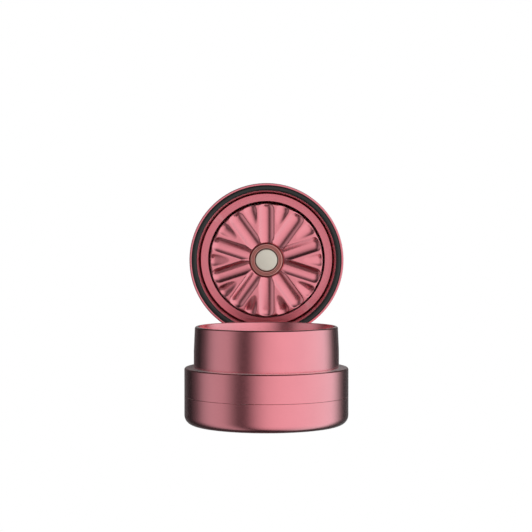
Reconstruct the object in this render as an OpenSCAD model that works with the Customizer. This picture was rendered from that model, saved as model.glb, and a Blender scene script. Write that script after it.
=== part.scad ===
// Fluted pill mill: a lid with a sprung, fluted rotor stands open behind a
// two-tier body, whose neck holds a ridged stator over a screw-on catch cup.
// Millimetres, +Z up, origin at the centre of the catch cup's foot.

/* [Body] */
// Outer radius of the cup, the drum and the lid
body_r = 31.5; // [31:0.1:32]
// Height of the seam between cup and drum
seam_z = 10.9; // [10.5:0.1:11.2]
// Height of the shelf that the lid rests on
shelf_z = 21.8; // [21.6:0.1:22]
// Height of the neck's rim
rim_z = 37.5; // [37.2:0.1:37.6]
// Outer radius of the neck's lower, straight part
neck_r = 27.86; // [27.5:0.02:28]
// Outer radius of the neck at its rim
neck_rim_r = 27.45; // [27.2:0.05:27.5]
// Radius of the milling bowl in the neck
bowl_r = 25.7; // [25.6:0.05:25.9]
// Radius of the milling bowl's mouth, which opens out to the rim
mouth_r = 26.1; // [25.9:0.05:26.2]
// Radius of the rounding around the cup's foot
foot_round = 3.6; // [3:0.1:4]

/* [Lid] */
// Height of the lid from its mouth to its roof
lid_h = 31.5; // [31.5:0.1:34]
// Inner radius of the lid's skirt, behind the glide ring
skirt_r = 28.42; // [28.3:0.01:28.5]
// Inner radius of the lid's skirt at the lid's floor
skirt_floor_r = 28.15; // [28.1:0.01:28.2]
// Depth of the skirt, from the mouth to the lid's floor
skirt_depth = 16; // [15.9:0.05:16.1]
// Outer radius of the black glide ring
glide_outer_r = 30.6; // [30.2:0.1:30.8]
// How far the open lid's mouth stands behind the body's axis
open_y = 38.5; // [38.4:0.1:39]
// Height of the open lid's centre
open_z = 62; // [61.9:0.1:62.5]

/* [Rotor] */
// Outer radius of the rotor
rotor_r = 23.2; // [22.5:0.1:23.3]
// Thickness of the rotor
rotor_t = 8.5; // [8.4:0.1:9]
// How far the rotor is pushed into the lid when the mill is closed
rotor_float = 10; // [10:0.1:10.1]
// Number of full-length flutes, and of the short pockets between them
flutes = 10; // [8:1:11]
// Radius of the ball cutter that cuts the flutes and the pockets
flute_r = 4.2; // [4:0.05:4.3]

/* [Hidden] */

rose = "lightcoral";
fine = 0.3;               // breaks the sharp edges
tiny = 0.01;              // overshoot of a cut past a face
$fn = 96;

// Screw joint between cup and body
seam_gap = 0.05;
thread_root_r = 27.8;
thread_crest_r = 28.4;
thread_bore_r = 28.9;
thread_pitch = 1.6;
thread_ridges = 3;
spigot_z = 5.6;
cup_floor_z = 3;
cup_ledge_z = 5.4;
chamber_r = 24;
seal_inner_r = 29.6;
seal_outer_r = 30.6;
seal_t = 0.8;

// Sleeve and the collar around it
taper_z = 28;
collar_fit = 0.03;
rim_round = 0.75;

// Stator and the ring that clamps it to the sleeve's step
stator_top_z = 33.9;
stator_t = 6;
stator_seat_z = stator_top_z - stator_t;
stator_r = bowl_r - 0.15;
retainer_t = 2.5;
retainer_r = 20.2;
stator_rows = 20;
channel_r = 2.7;
channel_lift = 0.6;
stator_screw_at = 22;
boss_r = 7;
magnet_r = 4.4;
magnet_t = 1.6;
magnet_bevel = 0.4;
magnet_cup_r = 5.2;
magnet_cup_t = 2.2;

// Lid frame: the mouth is at 0 and the roof at lid_h, on the lid's own axis
recess_r = 24.3;
roof_z = 27.9;
roof_relief = 1.6;
glide_t = 3;
glide_proud = 0.2;
glide_inner_r = 28.5;
roof_round = 3;
liner_face_r = 27.45;
liner_groove = 1;
face_closed_z = stator_top_z + 0.2 - shelf_z - glide_proud;
face_z = face_closed_z - rotor_float;

// Rotor centre
pivot_r = 6.6;
pivot_pocket_r = 6.9;
pivot_t = 2.2;
washer_t = 0.4;
web_t = 1.4;
web_z = face_z + pivot_t + washer_t;
well_z = web_z + web_t;
well_r = 8;
stem_r = 1.5;
bush_inner_r = 1.55;
bush_outer_r = 2;
relief_r = 20.5;
relief_t = 2.6;
ring_inner_r = 4.8;
flute_lift = 2.95;
pocket_start_r = 15.2;
pocket_tilt = 7.5;

// Drive between lid and rotor
spigot_r = 2.6;
hex_r = 3;
hex_hole_r = 3.1;
hub_r = 5;
hub_bore_r = 3.6;
hub_flange_r = 11.5;
hub_flange_t = 2;
hub_low_z = well_z + rotor_float + 0.4;
guide_t = 2.1;
nut_r = 3.4;
nut_t = 1;
nut_z = hub_low_z + guide_t + 0.1;
hub_top_z = nut_z + nut_t + rotor_float + 0.3;
hub_screw_at = 9.3;
screw_r = 1;
screw_head_r = 1.6;
spring_r = 6.7;
wire_r = 0.5;
spring_turns = 7;

// Puts a piece drawn in the lid's frame where the open lid stands
module open_lid() {
    translate([0, open_y, open_z])
        rotate([-90, 0, 0])
            children();
}

// Solid of revolution between two radii and two heights, for profile cuts
module band(r0, r1, z0, z1) {
    translate([r0, z0])
        square([r1 - r0, z1 - z0]);
}

// Small bevel cut, on the outer edge at radius r and height z
module bevel(r, z, size) {
    translate([r, z])
        rotate(45)
            square(size * sqrt(2), center = true);
}

// Quarter-round corner cut: dr and dz are the signs of the way out
module corner_cut(r, z, size, dr, dz) {
    translate([r - dr * size, z - dz * size])
        difference() {
            translate([dr > 0 ? 0 : -size - tiny, dz > 0 ? 0 : -size - tiny])
                square(size + tiny);
            circle(r = size);
        }
}

// Screw with its shank upwards from z and its cheese head below
module screw(z, shank) {
    translate([0, 0, z - 1])
        cylinder(r = screw_head_r, h = 1);
    translate([0, 0, z])
        cylinder(r = screw_r, h = shank);
}

// Three copies around the axis, clear of the stator's rows of holes
module three_around(at) {
    for (turn = [9, 129, 249])
        rotate(turn)
            translate([at, 0, 0])
                children();
}

// ---- Lower part -------------------------------------------------------

module catch_cup() {
    color(rose)
        rotate_extrude()
            difference() {
                band(0, body_r, 0, seam_z);
                corner_cut(body_r, 0, foot_round, 1, -1);
                bevel(body_r, seam_z, 0.12);
                difference() {
                    band(-tiny, chamber_r, cup_floor_z, seam_z);
                    corner_cut(chamber_r, cup_floor_z, 2, 1, -1);
                }
                band(0, thread_bore_r, cup_ledge_z, seam_z + tiny);
                band(seal_inner_r, seal_outer_r, seam_z - seal_t, seam_z + tiny);
            }
}

module cup_seal() {
    color("dimgray")
        rotate_extrude()
            difference() {
                band(seal_inner_r, seal_outer_r, seam_z - seal_t, seam_z);
                bevel(seal_inner_r, seam_z, 0.15);
                bevel(seal_outer_r, seam_z, 0.15);
            }
}

module drum_collar() {
    low = seam_z + seam_gap;
    color(rose)
        rotate_extrude()
            difference() {
                band(neck_r + collar_fit, body_r, low, shelf_z);
                bevel(body_r, low, 0.12);
                corner_cut(body_r, shelf_z, rim_round, 1, 1);
            }
}

module neck_sleeve() {
    color(rose)
        rotate_extrude()
            difference() {
                union() {
                    band(0, thread_root_r, spigot_z, seam_z + seam_gap + tiny);
                    for (ridge = [0:thread_ridges - 1])
                        translate([thread_root_r, spigot_z + 1.2 + ridge * thread_pitch])
                            rotate(-45)
                                square((thread_crest_r - thread_root_r) * sqrt(2), center = true);
                    polygon([
                        [0, seam_z + seam_gap], [neck_r, seam_z + seam_gap],
                        [neck_r, taper_z], [neck_rim_r, rim_z], [0, rim_z],
                    ]);
                }
                band(-tiny, bowl_r, stator_seat_z, rim_z + tiny);
                polygon([
                    [0, stator_top_z], [bowl_r, stator_top_z], [mouth_r, rim_z],
                    [mouth_r, rim_z + 1], [0, rim_z + 1],
                ]);
                band(-tiny, chamber_r, 0, rim_z);
                corner_cut(neck_rim_r, rim_z, rim_round, 1, 1);
                bevel(mouth_r, rim_z, 0.3);
                bevel(thread_root_r, spigot_z, fine);
            }
}

module stator() {
    channel_z = stator_top_z + channel_lift;
    color("silver")
        difference() {
            rotate_extrude()
                difference() {
                    band(0, stator_r, stator_seat_z, stator_top_z);
                    bevel(stator_r, stator_top_z, fine);
                    band(-tiny, magnet_cup_r, stator_top_z - magnet_cup_t, stator_top_z + tiny);
                }
            for (row = [0:stator_rows - 1])
                rotate(row * 360 / stator_rows) {
                    translate([boss_r + 3.3, 0, channel_z])
                        rotate([0, 90, 0])
                            cylinder(r = channel_r, h = stator_r - boss_r - 7.6, $fn = 32);
                    for (at = [11.5, 15, 18.5])
                        translate([at, 0, stator_seat_z - 1])
                            cylinder(r = at / 14, h = stator_t + 2, $fn = 24);
                }
            three_around(stator_screw_at)
                translate([0, 0, stator_seat_z - tiny])
                    cylinder(r = screw_r, h = 2.5, $fn = 24);
        }
}

module stator_retainer() {
    color("gray")
        difference() {
            rotate_extrude()
                difference() {
                    band(retainer_r, chamber_r - 0.05, stator_seat_z - retainer_t, stator_seat_z);
                    bevel(retainer_r, stator_seat_z - retainer_t, fine);
                }
            three_around(stator_screw_at)
                translate([0, 0, stator_seat_z - retainer_t - 1])
                    cylinder(r = screw_r, h = retainer_t + 2, $fn = 24);
        }
}

module stator_screws() {
    color("gray")
        three_around(stator_screw_at)
            screw(stator_seat_z - retainer_t, retainer_t + 2.3, $fn = 24);
}

module magnet_cup() {
    low = stator_top_z - magnet_cup_t;
    color("gray")
        rotate_extrude()
            difference() {
                band(0, magnet_cup_r, low, stator_top_z);
                band(-tiny, magnet_r, stator_top_z - magnet_t, stator_top_z + tiny);
                bevel(magnet_cup_r, stator_top_z, 0.15);
            }
}

module lower_magnet() {
    color("gainsboro")
        magnet_disc(stator_top_z - magnet_t, stator_top_z);
}

// Magnet with a bevel around both faces
module magnet_disc(low, high) {
    rotate_extrude()
        difference() {
            band(0, magnet_r, low, high);
            bevel(magnet_r, low, magnet_bevel / 2);
            bevel(magnet_r, high, magnet_bevel / 2);
        }
}

// ---- Pivot: stays with the rotor and doesn't turn with it ----------------

module pivot_pin() {
    color("gray")
        open_lid()
            rotate_extrude() {
                band(0, pivot_r, face_z + magnet_t, face_z + pivot_t);
                band(0, stem_r, face_z + pivot_t - tiny, nut_z + nut_t);
            }
}

module pivot_ring() {
    color("rosybrown")
        open_lid()
            rotate_extrude()
                difference() {
                    band(ring_inner_r, pivot_r, face_z, face_z + magnet_t);
                    bevel(ring_inner_r, face_z, 0.12);
                    bevel(pivot_r, face_z, 0.15);
                    // turned grooves on the ring's face
                    for (groove = [5.35, 5.9])
                        bevel(groove, face_z, 0.13);
                }
}

module rotor_magnet() {
    color("gainsboro")
        open_lid()
            magnet_disc(face_z, face_z + magnet_t);
}

module thrust_washer() {
    color("ivory")
        open_lid()
            translate([0, 0, face_z + pivot_t])
                difference() {
                    cylinder(r = pivot_r - 0.2, h = washer_t);
                    translate([0, 0, -1])
                        cylinder(r = bush_inner_r, h = washer_t + 2);
                }
}

module pivot_nut() {
    color("gray")
        open_lid()
            translate([0, 0, nut_z])
                difference() {
                    cylinder(r = nut_r, h = nut_t);
                    translate([0, 0, -1])
                        cylinder(r = stem_r, h = nut_t + 2);
                }
}

// ---- Rotor ------------------------------------------------------------

// One ball-ended cut along +X, from x0 to x1, by a cutter of radius r
module ball_cut(r, x0, x1) {
    translate([x0, 0, 0])
        rotate([0, 90, 0])
            cylinder(r = r, h = x1 - x0, $fn = 64);
    translate([x1, 0, 0])
        sphere(r = r, $fn = 64);
}

module rotor() {
    step = 360 / flutes;
    flute_end_r = rotor_r - 2.6;
    pocket_end_r = rotor_r - 1.6;
    back_z = face_z + rotor_t;
    color(rose)
        open_lid()
            difference() {
                rotate_extrude()
                    difference() {
                        band(0, rotor_r, face_z, back_z);
                        band(-tiny, pivot_pocket_r, face_z - tiny, web_z);
                        band(-tiny, spigot_r, 0, back_z);
                        band(-tiny, well_r, well_z, back_z + tiny);
                        band(well_r + 3, relief_r, back_z - relief_t, back_z + tiny);
                        bevel(rotor_r, face_z, 0.35);
                        bevel(rotor_r, back_z, 0.6);
                    }
                for (turn = [0:flutes - 1])
                    rotate(turn * step - 90)
                        translate([0, 0, face_z - flute_lift])
                            ball_cut(flute_r, 5, flute_end_r);
                for (turn = [0:flutes - 1])
                    rotate((turn + 0.5) * step - 90)
                        translate([pocket_start_r, 0, face_z - flute_r / cos(pocket_tilt)])
                            rotate([0, -pocket_tilt, 0])
                                ball_cut(flute_r, -2, (pocket_end_r - pocket_start_r) / cos(pocket_tilt));
            }
}

module rotor_shaft() {
    color("gray")
        open_lid()
            difference() {
                union() {
                    translate([0, 0, web_z])
                        cylinder(r = spigot_r, h = web_t);
                    translate([0, 0, well_z])
                        cylinder(r = hex_r, h = nut_z - well_z, $fn = 6);
                }
                translate([0, 0, web_z - 1])
                    cylinder(r = bush_outer_r, h = nut_z);
            }
}

module pivot_bush() {
    color("darkgoldenrod")
        open_lid()
            translate([0, 0, web_z])
                difference() {
                    cylinder(r = bush_outer_r, h = nut_z - web_z);
                    translate([0, 0, -1])
                        cylinder(r = bush_inner_r, h = nut_z);
                }
}

// ---- Lid --------------------------------------------------------------

module lid_shell() {
    color(rose)
        open_lid()
            difference() {
                rotate_extrude()
                    lid_profile();
                three_around(hub_screw_at)
                    translate([0, 0, roof_z - tiny])
                        cylinder(r = screw_r, h = 2, $fn = 24);
            }
}

module lid_profile() {
    difference() {
        band(0, body_r, 0, lid_h);
        polygon([
            [0, -tiny], [skirt_r, -tiny], [skirt_r, glide_t], [skirt_floor_r, skirt_depth],
            [skirt_floor_r, roof_z], [0, roof_z],
        ]);
        band(-tiny, glide_outer_r, -tiny, glide_t);
        band(hub_flange_r + 0.5, recess_r, 0, roof_z + roof_relief);
        band(-tiny, hub_r, 0, hub_top_z);
        corner_cut(body_r, lid_h, roof_round, 1, 1);
        corner_cut(body_r, 0, 0.3, 1, -1);
    }
}

// Ring that the lid's floor is made of, around the rotor
module lid_liner() {
    color(rose)
        open_lid()
            rotate_extrude()
                difference() {
                    band(recess_r, skirt_floor_r, skirt_depth, roof_z);
                    polygon([
                        [liner_face_r, skirt_depth], [liner_face_r, skirt_depth - tiny],
                        [skirt_floor_r + tiny, skirt_depth - tiny],
                        [skirt_floor_r + tiny, skirt_depth + liner_groove],
                    ]);
                    bevel(recess_r, skirt_depth, 0.2);
                }
}

module glide_ring() {
    color([0.12, 0.12, 0.12])
        open_lid()
            rotate_extrude()
                difference() {
                    band(glide_inner_r, glide_outer_r, -glide_proud, glide_t);
                    bevel(glide_inner_r, -glide_proud, 0.3);
                    bevel(glide_outer_r, -glide_proud, 0.3);
                }
}

module drive_hub() {
    color("gray")
        open_lid()
            difference() {
                union() {
                    translate([0, 0, hub_low_z])
                        cylinder(r = hub_r, h = hub_top_z - hub_low_z);
                    translate([0, 0, roof_z - hub_flange_t])
                        cylinder(r = hub_flange_r, h = hub_flange_t);
                }
                translate([0, 0, hub_low_z - 1])
                    cylinder(r = hex_hole_r, h = guide_t + 2, $fn = 6);
                translate([0, 0, hub_low_z + guide_t])
                    cylinder(r = hub_bore_r, h = lid_h);
                three_around(hub_screw_at)
                    translate([0, 0, roof_z - hub_flange_t - 1])
                        cylinder(r = screw_r, h = hub_flange_t + 2, $fn = 24);
            }
}

module hub_screws() {
    color("silver")
        open_lid()
            three_around(hub_screw_at)
                screw(roof_z - hub_flange_t, hub_flange_t + 1.8, $fn = 24);
}

// Wire ring of the spring at a turn count from 0 to spring_turns
function wire_ring(turn, length) = [
    for (side = [0:7])
        let (around = side * 45, r = spring_r + wire_r * cos(around))
        [
            r * cos(turn * 360),
            r * sin(turn * 360),
            wire_r * sin(around) + wire_r + (length - 2 * wire_r) * turn / spring_turns,
        ]
];

module rotor_spring() {
    per_turn = 24;
    rings = spring_turns * per_turn;
    length = roof_z - hub_flange_t - well_z;
    points = [for (ring = [0:rings]) each wire_ring(ring / per_turn, length)];
    sides = [
        for (ring = [0:rings - 1], side = [0:7])
            let (a = ring * 8 + side, b = ring * 8 + (side + 1) % 8)
            [a, b, b + 8, a + 8]
    ];
    ends = [[for (side = [0:7]) 7 - side], [for (side = [0:7]) rings * 8 + side]];
    color("silver")
        open_lid()
            translate([0, 0, well_z])
                polyhedron(points = points, faces = concat(sides, ends));
}

catch_cup();
cup_seal();
drum_collar();
neck_sleeve();
stator();
stator_retainer();
stator_screws();
magnet_cup();
lower_magnet();
pivot_pin();
pivot_ring();
rotor_magnet();
thrust_washer();
pivot_nut();
rotor();
rotor_shaft();
pivot_bush();
lid_shell();
lid_liner();
glide_ring();
drive_hub();
hub_screws();
rotor_spring();
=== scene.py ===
"""Rose anodised pill mill, open: shells, rotor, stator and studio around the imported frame."""
import math

import bpy
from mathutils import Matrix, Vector


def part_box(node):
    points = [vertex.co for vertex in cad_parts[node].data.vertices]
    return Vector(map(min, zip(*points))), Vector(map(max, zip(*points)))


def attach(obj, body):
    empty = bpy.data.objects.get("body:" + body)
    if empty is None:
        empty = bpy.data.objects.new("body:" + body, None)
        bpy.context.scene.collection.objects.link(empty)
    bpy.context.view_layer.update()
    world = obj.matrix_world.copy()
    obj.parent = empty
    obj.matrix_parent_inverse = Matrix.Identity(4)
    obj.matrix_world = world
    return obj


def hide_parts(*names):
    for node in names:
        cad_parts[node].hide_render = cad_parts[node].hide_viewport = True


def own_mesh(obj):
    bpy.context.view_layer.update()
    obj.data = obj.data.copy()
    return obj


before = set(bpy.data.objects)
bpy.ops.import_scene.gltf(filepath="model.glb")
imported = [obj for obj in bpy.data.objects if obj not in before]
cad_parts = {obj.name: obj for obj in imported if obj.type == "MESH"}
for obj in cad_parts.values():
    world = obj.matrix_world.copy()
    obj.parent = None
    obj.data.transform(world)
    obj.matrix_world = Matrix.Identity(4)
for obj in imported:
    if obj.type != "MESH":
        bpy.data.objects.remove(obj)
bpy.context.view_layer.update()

bl_info = {
    "name": "Pill Mill",
    "version": (1, 0, 0),
    "blender": (4, 5, 0),
    "location": "View3D > Sidebar > Mill",
    "description": "Builds the pill mill's shells, rotor, stator and studio",
    "category": "Object",
}

MM = 0.001
CUP_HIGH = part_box("catch_cup")[1]
DRUM_LOW, DRUM_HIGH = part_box("drum_collar")
NECK_LOW, NECK_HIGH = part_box("neck_sleeve")
LID_LOW, LID_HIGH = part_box("lid_shell")
RING_LOW, RING_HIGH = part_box("glide_ring")
HUB_LOW, HUB_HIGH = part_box("pivot_ring")
MAGNET_LOW, MAGNET_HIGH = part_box("rotor_magnet")
SPRING_LOW, SPRING_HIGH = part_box("rotor_spring")
SEAL_LOW, SEAL_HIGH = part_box("cup_seal")
LID_CENTRE_Z = (LID_LOW.z + LID_HIGH.z) / 2
UP = Vector((0, 0, 1))
BACK = Vector((0, 1, 0))


# ---- Values that a user would change ------------------------------------------


def length(name, description, millimetres):
    return bpy.props.FloatProperty(
        name=name, description=description, default=millimetres * MM, unit="LENGTH"
    )


def colour(name, description, rgb):
    return bpy.props.FloatVectorProperty(
        name=name, description=description, default=rgb, size=3, subtype="COLOR"
    )


def angle(name, description, degrees):
    return bpy.props.FloatProperty(
        name=name, description=description, default=math.radians(degrees), unit="ROTATION"
    )


def amount(name, description, value):
    return bpy.props.FloatProperty(name=name, description=description, default=value)


class MillSizes(bpy.types.PropertyGroup):
    """Sizes of the turned shells that the frame's boxes don't give"""

    foot_round: length("Foot rounding", "Radius around the cup's foot", 3.6)
    edge_round: length("Edge rounding", "Radius that breaks a turned edge", 0.22)
    fine_round: length("Fine rounding", "Radius that breaks a fine turned edge", 0.1)
    seam_round: length("Seam rounding", "Radius of the edges at the seam", 0.13)
    rim_round: length("Rim rounding", "Outer rounding of the neck's and drum's top", 0.75)
    seal_width: length("Seal width", "Width of the seal's groove in the cup", 1.0)
    bore_r: length("Thread bore", "Radius of the cup's threaded bore", 28.9)
    ledge_z: length("Ledge height", "Height of the cup's inner ledge", 5.4)
    well_r: length("Well radius", "Radius of the powder well", 24.0)
    floor_z: length("Well floor", "Height of the powder well's floor", 3.0)
    neck_r: length("Neck radius", "Radius of the neck's straight part", 27.86)
    neck_rim_r: length("Neck rim radius", "Radius of the neck at its rim", 27.45)
    taper_z: length("Taper start", "Height at which the neck starts to taper", 28.0)
    mouth_r: length("Bowl mouth", "Radius of the milling bowl at the rim", 26.1)
    bowl_r: length("Bowl radius", "Radius of the milling bowl", 25.7)
    bowl_z: length("Bowl taper", "Height at which the bowl starts to open out", 33.9)
    seat_z: length("Stator seat", "Height of the step that the stator sits on", 27.9)
    spigot_r: length("Spigot radius", "Radius of the sleeve's threaded spigot", 27.6)
    skirt_r: length("Skirt radius", "Inner radius of the lid's skirt", 28.42)
    skirt_depth: length("Skirt depth", "Depth of the lid's floor", 16.0)
    skirt_floor_r: length("Skirt at the floor", "Skirt's radius at the lid's floor", 28.15)
    floor_r: length("Floor radius", "Outer radius of the lid's floor", 27.45)
    floor_groove: length("Floor groove", "Depth of the groove around the floor", 0.4)
    recess_r: length("Recess radius", "Radius of the rotor's recess", 24.3)
    recess_depth: length("Recess depth", "Depth of the recess over the flange", 27.9)
    relief_depth: length("Relief depth", "Depth of the recess around the flange", 29.5)
    flange_r: length("Flange radius", "Radius of the seat for the hub flange", 12.0)
    hub_r: length("Hub bore", "Radius of the blind bore for the hub", 5.0)
    hub_depth: length("Hub bore depth", "Depth of the blind bore", 30.0)
    roof_round: length("Roof rounding", "Radius around the lid's roof", 3.0)
    ring_t: length("Glide ring seat", "Depth of the glide ring's seat", 3.0)
    hub_ring_r: length("Hub ring bore", "Inner radius of the ring at the hub", 4.5)
    hub_bevel: length("Hub ring bevel", "Width of the bevel around the ring's bore", 0.45)
    hub_groove: length("Hub ring groove", "Half the width of a groove in the ring", 0.17)
    wire_r: length("Spring wire", "Radius of the spring's wire", 0.45)
    float_travel: length("Float travel", "How far the rotor floats in the lid", 10.0)
    remesh: length("Voxel size", "Voxel size of the rotor and the stator", 0.29)


class MillFinish(bpy.types.PropertyGroup):
    """Colours of the finishes"""

    rose: colour("Rose", "Anodised rose of the body and the rotor", (0.93, 0.295, 0.345))
    # The lid's copy of the rose is darker: painted shade
    lid_rose_painted_shade: colour("Lid rose", "Anodised rose of the lid", (0.86, 0.25, 0.30))
    brown_rose: colour("Brown rose", "Ring around the centre magnet", (0.68, 0.31, 0.28))
    nylon: colour("Nylon", "Black glide ring", (0.022, 0.023, 0.022))
    nickel: colour("Nickel", "Plated magnets", (0.88, 0.81, 0.70))
    steel: colour("Steel", "Stator, pins and screws", (0.50, 0.49, 0.48))
    brass: colour("Brass", "Bush on the pivot pin", (0.62, 0.43, 0.17))
    rubber: colour("Rubber", "Seal between cup and drum", (0.018, 0.018, 0.018))
    hub_grey: colour("Hub grey", "Bare aluminium of the drive hub", (0.72, 0.72, 0.73))
    ivory: colour("Ivory", "Thrust washer", (0.66, 0.63, 0.55))
    rose_rough: amount("Rose roughness", "Roughness of the satin anodising", 0.24)


class MillStudio(bpy.types.PropertyGroup):
    """Camera, floor and light"""

    distance: length("Camera distance", "From the mill's axis to the camera", 590.6)
    height: length("Camera height", "Height of the camera over the floor", 76.0)
    aside: length("Camera aside", "How far right of the axis the camera stands", 0.5)
    turn: angle("Turn", "How far left of straight ahead the camera looks", 0.063)
    tilt: angle("Tilt", "How far down the camera looks", 1.49)
    lens: amount("Lens", "Focal length on a 36 mm sensor, in millimetres", 104.2)
    floor_size: length("Floor size", "Width of the floor", 6000)
    light: amount("Light", "Strength of the soft boxes", 1.0)


# Noise scales of the finishes, per metre
TOOL_MARKS = 9000.0
BLASTED_GRAIN = 7000.0
SMEARS = 900.0
CLOUDS = 140.0
PLASTIC_MARKS = 7000.0
PORES = 5200.0
PLASTIC_CLOUDS = 300.0
BUMP_DEPTH = 0.02 * MM


# ---- Shader maths --------------------------------------------------------------


class Wire:
    """A socket that Python's arithmetic works on"""

    def __init__(self, net, socket):
        self.net = net
        self.socket = socket

    def _math(self, operation, *values):
        return self.net.node(
            "ShaderNodeMath", {"operation": operation}, dict(enumerate(values))
        )

    def __add__(self, other):
        return self._math("ADD", self, other)

    def __sub__(self, other):
        return self._math("SUBTRACT", self, other)

    def __mul__(self, other):
        return self._math("MULTIPLY", self, other)

    def __truediv__(self, other):
        return self._math("DIVIDE", self, other)

    def __radd__(self, other):
        return self._math("ADD", other, self)

    def __rsub__(self, other):
        return self._math("SUBTRACT", other, self)

    def __rmul__(self, other):
        return self._math("MULTIPLY", other, self)

    def __rtruediv__(self, other):
        return self._math("DIVIDE", other, self)

    def __pow__(self, other):
        return self._math("POWER", self, other)

    def __rpow__(self, other):
        return self._math("POWER", other, self)


class Net:
    """A node tree that is built by one method"""

    def __init__(self, tree):
        self.tree = tree
        tree.nodes.clear()

    def node(self, kind, settings=None, inputs=None, output=0):
        made = self.tree.nodes.new(kind)
        for key, value in (settings or {}).items():
            if key == "stops":
                self._stops(made.color_ramp, value)
            else:
                setattr(made, key, value)
        for key, value in (inputs or {}).items():
            if isinstance(value, Wire):
                self.tree.links.new(value.socket, made.inputs[key])
            else:
                made.inputs[key].default_value = value
        return Wire(self, made.outputs[output]) if len(made.outputs) else made

    def _stops(self, ramp, stops):
        while len(ramp.elements) < len(stops):
            ramp.elements.new(1.0)
        for element, (place, rgb) in zip(ramp.elements, stops):
            element.position = place
            element.color = (*rgb, 1)

    def mix(self, factor, first, second):
        """Colour mix of two colours, or of a colour and a link"""
        return self.node(
            "ShaderNodeMix",
            {"data_type": "RGBA"},
            {0: factor, 6: first, 7: second},
            output=2,
        )

    def noise(self, vector, scale, detail=2.0):
        return self.node(
            "ShaderNodeTexNoise",
            None,
            {"Vector": vector, "Scale": scale, "Detail": detail},
        )

    def bump(self, height, strength, normal=None):
        inputs = {"Height": height, "Strength": strength, "Distance": BUMP_DEPTH}
        if normal is not None:
            inputs["Normal"] = normal
        return self.node("ShaderNodeBump", None, inputs)


def four(rgb):
    return (*rgb, 1.0)


def shade(rgb, factor):
    return tuple(min(1.0, c * factor) for c in rgb)


def new_material(name):
    material = bpy.data.materials.get(name)
    if material is not None:
        return material, None
    material = bpy.data.materials.new(name)
    material.use_nodes = True
    return material, Net(material.node_tree)


def finish_material(net, sockets):
    surface = net.node("ShaderNodeBsdfPrincipled", None, sockets)
    net.node("ShaderNodeOutputMaterial", None, {"Surface": surface})


def turned_place(net, axis):
    """Object coordinates, and those as (distance from the turning axis, place along it)"""
    along_y = axis == "lid"
    centre = (0, 0, LID_CENTRE_Z) if along_y else (0, 0, 0)
    place = net.node("ShaderNodeTexCoord", None, None, output=3)
    moved = net.node(
        "ShaderNodeVectorMath", {"operation": "SUBTRACT"}, {0: place, 1: centre}
    )
    split = net.tree.nodes.new("ShaderNodeSeparateXYZ")
    net.tree.links.new(moved.socket, split.inputs[0])
    x, y, z = (Wire(net, split.outputs[i]) for i in range(3))
    side, along = (z, y) if along_y else (y, z)
    radius = (x * x + side * side) ** 0.5
    rings = net.node(
        "ShaderNodeCombineXYZ", None, {"X": radius, "Y": along, "Z": 0.0}
    )
    return place, rings


def turned_metal(name, rgb, roughness, axis, marks=0.12, coat=0.0, sheen=0.0, grain=0.10, wear_and_highlight=0.25):
    """Satin metal with turning marks, fine blasted grain and paler edges, partly edge wear and
    partly painted highlight.
    Axis is "body" for pieces turned about the body's axis, or "lid" for the lid's."""
    material, net = new_material(name)
    if net is None:
        return material
    place, rings = turned_place(net, axis)
    tool = net.noise(rings, TOOL_MARKS, 3.0)
    cloud = net.noise(place, CLOUDS, 3.0)
    blast = net.noise(place, BLASTED_GRAIN, 2.0)
    smear = net.noise(place, SMEARS, 4.0)
    sharp = net.node("ShaderNodeNewGeometry", None, None, output=7)
    edge = net.node(
        "ShaderNodeMapRange",
        {"interpolation_type": "SMOOTHSTEP"},
        {"Value": sharp, "From Min": 0.53, "From Max": 0.60, "To Max": wear_and_highlight},
    )
    tint = net.mix(cloud, four(shade(rgb, 0.965)), four(shade(rgb, 1.035)))
    # Paler convex edges: partly edge wear, partly painted highlight
    worn_and_highlit = net.mix(edge, tint, four([min(1, 0.35 + 0.7 * c) for c in rgb]))
    rough = roughness + (smear - 0.5) * 0.10 + (tool - 0.5) * 0.05
    marked = net.bump(tool, marks)
    normal = net.bump(blast, grain, marked)
    finish_material(net, {
        "Base Color": worn_and_highlit,
        "Metallic": 1.0,
        "Roughness": rough,
        "Coat Weight": coat,
        "Coat Roughness": 0.22,
        "Coat IOR": 1.6,
        "Sheen Weight": sheen,
        "Sheen Roughness": 0.3,
        "Normal": normal,
    })
    return material


def rose_finish(context, place):
    """Rose anodising of the "body", the "rotor" or the "lid"; the lid's copy is a little darker, as
    painted shade
    """
    looks = context.scene.mill_finish
    lid = place == "lid"
    return turned_metal(
        f"rose_anodised_{place}",
        # The lid gets the darker copy of the rose: painted shade
        looks.lid_rose_painted_shade if lid else looks.rose,
        looks.rose_rough,
        "body" if place == "body" else "lid",
        marks=0.05,
        grain=0.03,
        coat=0.15 if lid else 0.3,
        sheen=0.1 if lid else 0.65,
    )


def dull_plastic(name, rgb, roughness, axis):
    """Turned plastic or rubber: faint rings, fine pores and slight shade changes"""
    material, net = new_material(name)
    if net is None:
        return material
    place, rings = turned_place(net, axis)
    tool = net.noise(rings, PLASTIC_MARKS, 2.0)
    pores = net.noise(place, PORES, 3.0)
    cloud = net.noise(place, PLASTIC_CLOUDS, 3.0)
    tint = net.mix(cloud, four(shade(rgb, 0.8)), four(shade(rgb, 1.25)))
    rough = roughness + (pores - 0.5) * 0.16
    normal = net.bump(pores, 0.10, net.bump(tool, 0.18))
    finish_material(net, {"Base Color": tint, "Roughness": rough, "Normal": normal})
    return material


# ---- Modelling helpers ----------------------------------------------------------


def deselect():
    if bpy.context.object and bpy.context.object.mode != "OBJECT":
        bpy.ops.object.mode_set(mode="OBJECT")
    bpy.ops.object.select_all(action="DESELECT")


def only(piece):
    deselect()
    piece.select_set(True)
    bpy.context.view_layer.objects.active = piece


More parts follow.
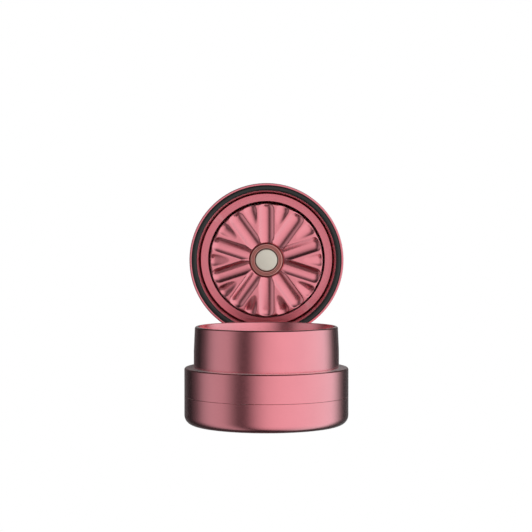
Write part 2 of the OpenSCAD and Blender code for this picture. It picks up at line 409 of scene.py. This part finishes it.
def rounded(corners, closed):
    """Outline points of (radius, place along the axis, rounding), as a list of pairs"""
    points = []
    count = len(corners)
    for i, (r, a, fillet) in enumerate(corners):
        inner = closed or 0 < i < count - 1
        here = Vector((r, a))
        if not inner or fillet <= 0:
            points.append(here)
            continue
        before = (Vector(corners[i - 1][:2]) - here).normalized()
        after = (Vector(corners[(i + 1) % count][:2]) - here).normalized()
        half = before.angle(after) / 2
        reach = fillet / math.tan(half)
        centre = here + (before + after).normalized() * fillet / math.sin(half)
        start = here + before * reach - centre
        sweep = start.angle_signed(here + after * reach - centre)
        steps = max(4, min(14, int(fillet / (0.06 * MM))))
        for step in range(steps + 1):
            turn = -sweep * step / steps
            cos, sin = math.cos(turn), math.sin(turn)
            spun = Vector((start.x * cos - start.y * sin, start.x * sin + start.y * cos))
            points.append(centre + spun)
    if closed:
        points.append(points[0].copy())
    return points


def lathe(name, corners, closed=True, lid=False, steps=256):
    """Turned piece: a vertex is extruded along the outline, which is then spun.
    Corners are (radius, place along the axis, rounding) in metres."""
    outline = rounded(corners, closed)
    centre = Vector((0, 0, LID_CENTRE_Z)) if lid else Vector()
    axis = BACK if lid else UP
    places = [centre + Vector((p.x, 0, 0)) + axis * p.y for p in outline]
    deselect()
    bpy.ops.mesh.primitive_plane_add(size=MM, location=places[0])
    piece = bpy.context.object
    piece.name = piece.data.name = name
    bpy.ops.object.transform_apply(location=True, rotation=True, scale=True)
    bpy.ops.object.mode_set(mode="EDIT")
    bpy.ops.mesh.select_all(action="SELECT")
    bpy.ops.mesh.merge(type="CENTER")
    for here, there in zip(places, places[1:]):
        bpy.ops.mesh.extrude_vertices_move(
            TRANSFORM_OT_translate={"value": there - here}
        )
    bpy.ops.mesh.select_all(action="SELECT")
    bpy.ops.mesh.spin(steps=steps, angle=math.tau, center=centre, axis=axis)
    bpy.ops.mesh.select_all(action="SELECT")
    bpy.ops.mesh.remove_doubles(threshold=0.002 * MM)
    bpy.ops.mesh.normals_make_consistent(inside=False)
    bpy.ops.object.mode_set(mode="OBJECT")
    smooth(piece)
    return piece


def smooth(piece, angle=40):
    """Smooth shading that keeps flats flat beside small roundings"""
    only(piece)
    bpy.ops.object.shade_smooth_by_angle(angle=math.radians(angle))
    weight = piece.modifiers.new("Weight", "WEIGHTED_NORMAL")
    weight.keep_sharp = True
    bpy.ops.object.modifier_apply(modifier=weight.name)


def softened(name, node, voxel, passes):
    """Copy of a milled node, remeshed and relaxed so that its lands are rounded over"""
    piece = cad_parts[node].copy()
    piece.data = piece.data.copy()
    piece.parent = None
    for key in list(piece.keys()):
        del piece[key]
    bpy.context.collection.objects.link(piece)
    piece.name = piece.data.name = name
    only(piece)
    bpy.ops.object.mode_set(mode="EDIT")
    bpy.ops.mesh.select_all(action="SELECT")
    bpy.ops.mesh.remove_doubles(threshold=0.002 * MM)
    bpy.ops.mesh.normals_make_consistent(inside=False)
    bpy.ops.object.mode_set(mode="OBJECT")
    bpy.ops.mesh.customdata_custom_splitnormals_clear()
    remesh = piece.modifiers.new("Remesh", "REMESH")
    remesh.mode = "VOXEL"
    remesh.voxel_size = voxel
    bpy.ops.object.modifier_apply(modifier=remesh.name)
    relax = piece.modifiers.new("Relax", "SMOOTH")
    relax.iterations = passes
    relax.factor = 0.5
    bpy.ops.object.modifier_apply(modifier=relax.name)
    bpy.ops.object.shade_smooth()
    return piece


def place_piece(piece, material, body, slot, *nodes):
    piece.data.materials.clear()
    piece.data.materials.append(material)
    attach(piece, body)
    if nodes:
        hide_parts(*nodes)


def dress(node, material):
    """Gives a node of the frame its finish"""
    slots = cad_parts[node].data.materials
    slots.clear()
    slots.append(material)


# ---- Operators -------------------------------------------------------------------


class MILL_OT_catch_cup(bpy.types.Operator):
    """Turn the catch cup with its rounded foot, plain bore and seal groove"""

    bl_idname = "mill.catch_cup"
    bl_label = "Catch cup"

    def execute(self, context):
        s = context.scene.mill_sizes
        outer, top = CUP_HIGH.x, CUP_HIGH.z
        seal_out, groove = SEAL_HIGH.x, SEAL_LOW.z
        seal_in = seal_out - s.seal_width
        cup = lathe("cup_shell", [
            (0, 0, 0),
            (outer, 0, s.foot_round),
            (outer, top, s.seam_round),
            (seal_out, top, s.fine_round),
            (seal_out, groove, 0),
            (seal_in, groove, 0),
            (seal_in, top, s.fine_round),
            (s.bore_r, top, s.edge_round),
            (s.bore_r, s.ledge_z, 0.15 * MM),
            (s.well_r, s.ledge_z, s.edge_round),
            (s.well_r, s.floor_z, 2 * MM),
            (0, s.floor_z, 0),
        ], closed=False)
        place_piece(cup, rose_finish(context, "body"), "cup", "rose_anodised", "catch_cup")
        return {"FINISHED"}


class MILL_OT_drum(bpy.types.Operator):
    """Turn the drum's collar and the sleeve with its necked bowl"""

    bl_idname = "mill.drum"
    bl_label = "Drum and neck"

    def execute(self, context):
        s = context.scene.mill_sizes
        rose = rose_finish(context, "body")
        drum = lathe("drum_band", [
            (s.neck_r, DRUM_LOW.z, 0),
            (DRUM_HIGH.x, DRUM_LOW.z, s.seam_round),
            (DRUM_HIGH.x, DRUM_HIGH.z, s.rim_round),
            (s.neck_r, DRUM_HIGH.z, 0),
        ])
        place_piece(drum, rose, "body", "rose_anodised", "drum_collar")
        neck = lathe("neck_bowl", [
            (s.spigot_r, NECK_LOW.z, 0.3 * MM),
            (s.spigot_r, DRUM_LOW.z, s.fine_round),
            (s.neck_r, DRUM_LOW.z, s.fine_round),
            (s.neck_r, s.taper_z, 4 * MM),
            (s.neck_rim_r, NECK_HIGH.z, s.rim_round),
            (s.mouth_r, NECK_HIGH.z, 0.4 * MM),
            (s.bowl_r, s.bowl_z, 2 * MM),
            (s.bowl_r, s.seat_z, s.fine_round),
            (s.well_r, s.seat_z, s.fine_round),
            (s.well_r, NECK_LOW.z, s.edge_round),
        ])
        place_piece(neck, rose, "body", "rose_anodised", "neck_sleeve")
        return {"FINISHED"}


class MILL_OT_lid(bpy.types.Operator):
    """Turn the lid's shell, and the liner that forms its floor"""

    bl_idname = "mill.lid"
    bl_label = "Lid"

    def execute(self, context):
        s = context.scene.mill_sizes
        rose = rose_finish(context, "lid")
        mouth, roof = LID_LOW.y, LID_HIGH.y
        ceiling = mouth + s.recess_depth
        shell = lathe("lid_cover", [
            (0, roof, 0),
            (LID_HIGH.x, roof, s.roof_round),
            (LID_HIGH.x, mouth, 0.3 * MM),
            (RING_HIGH.x, mouth, 0.12 * MM),
            (RING_HIGH.x, mouth + s.ring_t, 0.05 * MM),
            (s.skirt_r, mouth + s.ring_t, s.fine_round),
            (s.skirt_floor_r, mouth + s.skirt_depth, 0),
            (s.skirt_floor_r, ceiling, 0),
            (s.recess_r, ceiling, 0),
            (s.recess_r, mouth + s.relief_depth, 1 * MM),
            (s.flange_r, mouth + s.relief_depth, 0.3 * MM),
            (s.flange_r, ceiling, 0.2 * MM),
            (s.hub_r, ceiling, s.fine_round),
            (s.hub_r, mouth + s.hub_depth, s.fine_round),
            (0, mouth + s.hub_depth, 0),
        ], closed=False, lid=True)
        place_piece(shell, rose, "lid", "rose_anodised", "lid_shell")
        floor = mouth + s.skirt_depth
        liner = lathe("lid_floor", [
            (s.recess_r, ceiling, 0),
            (s.recess_r, floor, 0.2 * MM),
            (s.floor_r, floor, s.fine_round),
            (s.skirt_floor_r, floor + s.floor_groove, 0),
            (s.skirt_floor_r, ceiling, 0),
        ], lid=True)
        place_piece(liner, rose, "lid", "rose_anodised", "lid_liner")
        return {"FINISHED"}


class MILL_OT_glide_ring(bpy.types.Operator):
    """Turn the black glide ring with its crowned face"""

    bl_idname = "mill.glide_ring"
    bl_label = "Glide ring"

    def execute(self, context):
        s = context.scene.mill_sizes
        looks = context.scene.mill_finish
        outer = RING_HIGH.x
        inner = s.skirt_r + 0.1 * MM
        ring = lathe("mouth_ring", [
            (outer - 0.02 * MM, RING_HIGH.y - 0.02 * MM, s.fine_round),
            (outer - 0.02 * MM, RING_LOW.y, 0.85 * MM),
            (inner, RING_LOW.y, 0.85 * MM),
            (inner, RING_HIGH.y - 0.02 * MM, s.fine_round),
        ], lid=True)
        nylon = dull_plastic("black_nylon", looks.nylon, 0.42, "lid")
        place_piece(ring, nylon, "lid", "glide_plastic", "glide_ring")
        return {"FINISHED"}


class MILL_OT_rotor(bpy.types.Operator):
    """Round over the lands of the fluted rotor"""

    bl_idname = "mill.rotor"
    bl_label = "Rotor"

    def execute(self, context):
        s = context.scene.mill_sizes
        rotor = softened("fluted_rotor", "rotor", s.remesh, 7)
        place_piece(rotor, rose_finish(context, "rotor"), "rotor", "rose_anodised", "rotor")
        return {"FINISHED"}


class MILL_OT_hub(bpy.types.Operator):
    """Turn the grooved ring and the magnet at the rotor's centre"""

    bl_idname = "mill.hub"
    bl_label = "Hub ring and magnet"

    def execute(self, context):
        s = context.scene.mill_sizes
        looks = context.scene.mill_finish
        face, back, outer = HUB_LOW.y, HUB_HIGH.y, HUB_HIGH.x
        corners = [(outer, back, 0), (outer, face, 0.2 * MM)]
        for middle in (5.95 * MM, 5.4 * MM):
            corners += [
                (middle + s.hub_groove, face, 0),
                (middle, face + 1.5 * s.hub_groove, 0),
                (middle - s.hub_groove, face, 0),
            ]
        corners += [
            (s.hub_ring_r + s.hub_bevel, face, 0),
            (s.hub_ring_r, face + 0.6 * MM, 0),
            (s.hub_ring_r, back, 0),
        ]
        ring = lathe("hub_ring", corners, lid=True, steps=128)
        brown = turned_metal(
            "brown_rose_ring", looks.brown_rose, 0.30, "lid", marks=0.35, wear_and_highlight=0.3
        )
        place_piece(ring, brown, "pivot", "ring_bronze", "pivot_ring")
        magnet_r = MAGNET_HIGH.x
        magnet = lathe("hub_magnet", [
            (0, MAGNET_LOW.y, 0),
            (magnet_r - 0.15 * MM, MAGNET_LOW.y, s.fine_round),
            (magnet_r, MAGNET_LOW.y + 0.15 * MM, s.fine_round),
            (magnet_r, MAGNET_HIGH.y, 0.15 * MM),
            (0, MAGNET_HIGH.y, 0),
        ], closed=False, lid=True, steps=128)
        nickel = turned_metal("satin_nickel", looks.nickel, 0.38, "lid", marks=0.05,
                              grain=0.18, wear_and_highlight=0.35)
        place_piece(magnet, nickel, "pivot", "magnet_nickel", "rotor_magnet")
        return {"FINISHED"}


class MILL_OT_stator(bpy.types.Operator):
    """Round over the ridges of the perforated stator"""

    bl_idname = "mill.stator"
    bl_label = "Stator"

    def execute(self, context):
        s = context.scene.mill_sizes
        looks = context.scene.mill_finish
        stator = softened("ridged_stator", "stator", s.remesh, 3)
        steel = turned_metal("stator_steel", looks.steel, 0.30, "body", marks=0.2)
        place_piece(stator, steel, "body", "stator_steel", "stator")
        return {"FINISHED"}


class MILL_OT_spring(bpy.types.Operator):
    """Wind the rotor's spring, with closed ends"""

    bl_idname = "mill.spring"
    bl_label = "Rotor spring"

    def execute(self, context):
        s = context.scene.mill_sizes
        looks = context.scene.mill_finish
        wire = s.wire_r
        turns = 7
        outer = SPRING_HIGH.x
        start, end = SPRING_LOW.y + wire, SPRING_HIGH.y - wire
        deselect()
        bpy.ops.mesh.primitive_circle_add(
            vertices=12, radius=wire, fill_type="NOTHING",
            location=(outer - wire, start, LID_CENTRE_Z),
        )
        spring = bpy.context.object
        spring.name = spring.data.name = "drive_spring"
        bpy.ops.object.transform_apply(location=True, rotation=True, scale=True)
        wind = spring.modifiers.new("Wind", "SCREW")
        wind.axis = "Y"
        wind.steps = wind.render_steps = 32
        wind.iterations = turns
        wind.screw_offset = (end - start) / turns
        spring.location = (0, 0, -LID_CENTRE_Z)
        bpy.ops.object.transform_apply(location=True, rotation=False, scale=False)
        bpy.ops.object.modifier_apply(modifier=wind.name)
        bpy.ops.object.mode_set(mode="EDIT")
        bpy.ops.mesh.select_all(action="SELECT")
        bpy.ops.transform.translate(value=(0, 0, LID_CENTRE_Z))
        bpy.ops.mesh.remove_doubles(threshold=0.001 * MM)
        bpy.ops.mesh.select_mode(type="EDGE")
        bpy.ops.mesh.select_all(action="DESELECT")
        bpy.ops.mesh.select_non_manifold()
        bpy.ops.mesh.edge_face_add()
        bpy.ops.mesh.select_all(action="SELECT")
        bpy.ops.mesh.normals_make_consistent(inside=False)
        bpy.ops.object.mode_set(mode="OBJECT")
        bpy.ops.object.shade_smooth()
        steel = turned_metal("spring_steel", looks.steel, 0.25, "lid", marks=0.05)
        place_piece(spring, steel, "lid", "screw_steel", "rotor_spring")
        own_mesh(spring)
        return {"FINISHED"}


class MILL_OT_small_parts(bpy.types.Operator):
    """Give the pins, screws, magnets, seal and hub their finishes"""

    bl_idname = "mill.small_parts"
    bl_label = "Small parts"

    def execute(self, context):
        looks = context.scene.mill_finish
        steel_lid = turned_metal("pin_steel_lid", looks.steel, 0.28, "lid")
        steel_body = turned_metal("pin_steel_body", looks.steel, 0.28, "body")
        nickel = turned_metal("plated_magnet", looks.nickel, 0.38, "body")
        brass = turned_metal("bush_brass", looks.brass, 0.25, "lid")
        hub = turned_metal("hub_aluminium", looks.hub_grey, 0.3, "lid", marks=0.25)
        washer = dull_plastic("washer_plastic", looks.ivory, 0.5, "lid")
        rubber = dull_plastic("seal_rubber", looks.rubber, 0.6, "body")
        for node in ("pivot_pin", "pivot_nut", "rotor_shaft", "hub_screws"):
            dress(node, steel_lid)
        for node in ("stator_screws", "stator_retainer", "magnet_cup"):
            dress(node, steel_body)
        dress("lower_magnet", nickel)
        dress("pivot_bush", brass)
        dress("drive_hub", hub)
        dress("thrust_washer", washer)
        dress("cup_seal", rubber)
        return {"FINISHED"}


class MILL_OT_stage(bpy.types.Operator):
    """Set the floor, the soft boxes and the camera"""

    bl_idname = "mill.stage"
    bl_label = "Studio"

    def execute(self, context):
        studio = context.scene.mill_studio
        make_floor(studio)
        make_light(context.scene, studio)
        make_camera(context.scene, studio)
        context.scene.view_settings.view_transform = "Standard"
        context.scene.view_settings.look = "None"
        return {"FINISHED"}


def make_floor(studio):
    deselect()
    bpy.ops.mesh.primitive_plane_add(size=studio.floor_size)
    floor = bpy.context.object
    floor.name = floor.data.name = "floor"
    floor.visible_glossy = False
    floor.visible_diffuse = False
    material, net = new_material("pale_floor")
    glow = net.node("ShaderNodeEmission", None, {"Color": (1, 1, 1, 1), "Strength": 1.0})
    net.node("ShaderNodeOutputMaterial", None, {"Surface": glow})
    floor.data.materials.append(material)


# Soft boxes around the mill: (degrees to the right of the camera, light's colour)
AROUND = (
    (-180, (0.10, 0.10, 0.10)),
    (-150, (0.05, 0.05, 0.05)),
    (-132, (0.0, 0.0, 0.0)),
    (-112, (0.12, 0.14, 0.14)),
    (-97, (0.42, 0.50, 0.49)),
    (-85, (0.54, 0.63, 0.62)),
    (-62, (0.54, 0.60, 0.59)),
    (-50, (0.30, 0.34, 0.33)),
    (-40, (0.085, 0.085, 0.085)),
    (-29, (0.085, 0.085, 0.085)),
    (-12, (0.56, 0.56, 0.56)),
    (0, (0.80, 0.80, 0.80)),
    (20, (0.92, 0.94, 0.94)),
    (50, (0.93, 1.02, 1.02)),
    (80, (0.92, 1.16, 1.13)),
    (103, (0.90, 1.26, 1.22)),
    (114, (0.60, 0.86, 0.82)),
    (127, (0.13, 0.18, 0.17)),
    (140, (0.0, 0.0, 0.0)),
    (150, (0.04, 0.04, 0.04)),
    (180, (0.10, 0.10, 0.10)),
)
# Share of that light by height: (degrees up, share)
BY_HEIGHT = (
    (-90, 0.0),
    (-80, 0.1),
    (-66, 0.75),
    (-34, 1.0),
    (26, 1.0),
    (40, 0.75),
    (56, 0.10),
    (90, 0.05),
)


def make_light(scene, studio):
    world = bpy.data.worlds.new("studio")
    world.use_nodes = True
    scene.world = world
    net = Net(world.node_tree)
    way = net.node("ShaderNodeTexCoord", None, None, output=0)
    split = net.tree.nodes.new("ShaderNodeSeparateXYZ")
    net.tree.links.new(way.socket, split.inputs[0])
    x, y, z = (Wire(net, split.outputs[i]) for i in range(3))
    around = net.node("ShaderNodeMath", {"operation": "ARCTAN2"}, {0: x, 1: 0 - y})
    height = net.node("ShaderNodeMath", {"operation": "ARCSINE"}, {0: z})
    boxes = net.node(
        "ShaderNodeValToRGB",
        {"stops": [((a + 180) / 360, shade(rgb, 0.8)) for a, rgb in AROUND]},
        {"Fac": around / math.tau + 0.5},
    )
    share = net.node(
        "ShaderNodeValToRGB",
        {"stops": [((a + 90) / 180, (v, v, v)) for a, v in BY_HEIGHT]},
        {"Fac": height / math.pi + 0.5},
    )
    lit = net.node(
        "ShaderNodeBackground",
        None,
        {"Color": boxes, "Strength": share * (1.25 * studio.light)},
    )
    plain = net.node("ShaderNodeBackground", None, {"Color": (1, 1, 1, 1)})
    seen = net.node("ShaderNodeLightPath", None, None, output=0)
    both = net.node("ShaderNodeMixShader", None, {0: seen, 1: lit, 2: plain})
    net.node("ShaderNodeOutputWorld", None, {"Surface": both})


def make_camera(scene, studio):
    deselect()
    bpy.ops.object.camera_add(
        location=(studio.aside, -studio.distance, studio.height),
        rotation=(math.pi / 2 - studio.tilt, 0, studio.turn),
    )
    camera = bpy.context.object
    camera.data.lens = studio.lens
    camera.data.sensor_width = 36
    camera.data.clip_start = 0.01
    scene.camera = camera


# ---- Panel and registration ---------------------------------------------------------


OPERATORS = (
    MILL_OT_stage,
    MILL_OT_catch_cup,
    MILL_OT_drum,
    MILL_OT_lid,
    MILL_OT_glide_ring,
    MILL_OT_rotor,
    MILL_OT_hub,
    MILL_OT_stator,
    MILL_OT_spring,
    MILL_OT_small_parts,
)


class MILL_PT_panel(bpy.types.Panel):
    """Lists the mill's pieces in the sidebar"""

    bl_label = "Pill mill"
    bl_idname = "MILL_PT_panel"
    bl_space_type = "VIEW_3D"
    bl_region_type = "UI"
    bl_category = "Mill"

    def draw(self, context):
        for operator in OPERATORS:
            self.layout.operator(operator.bl_idname)
        for group in (context.scene.mill_sizes, context.scene.mill_finish,
                      context.scene.mill_studio):
            box = self.layout.box()
            for name in group.__annotations__:
                box.prop(group, name)


GROUPS = {"mill_sizes": MillSizes, "mill_finish": MillFinish, "mill_studio": MillStudio}


def register():
    for group in GROUPS.values():
        bpy.utils.register_class(group)
    for name, group in GROUPS.items():
        setattr(bpy.types.Scene, name, bpy.props.PointerProperty(type=group))
    for operator in OPERATORS:
        bpy.utils.register_class(operator)
    bpy.utils.register_class(MILL_PT_panel)


def unregister():
    bpy.utils.unregister_class(MILL_PT_panel)
    for operator in reversed(OPERATORS):
        bpy.utils.unregister_class(operator)
    for name in GROUPS:
        delattr(bpy.types.Scene, name)
    for group in GROUPS.values():
        bpy.utils.unregister_class(group)


def main():
    register()
    for operator in OPERATORS:
        group, name = operator.bl_idname.split(".")
        getattr(getattr(bpy.ops, group), name)()


if __name__ == "__main__":
    main()
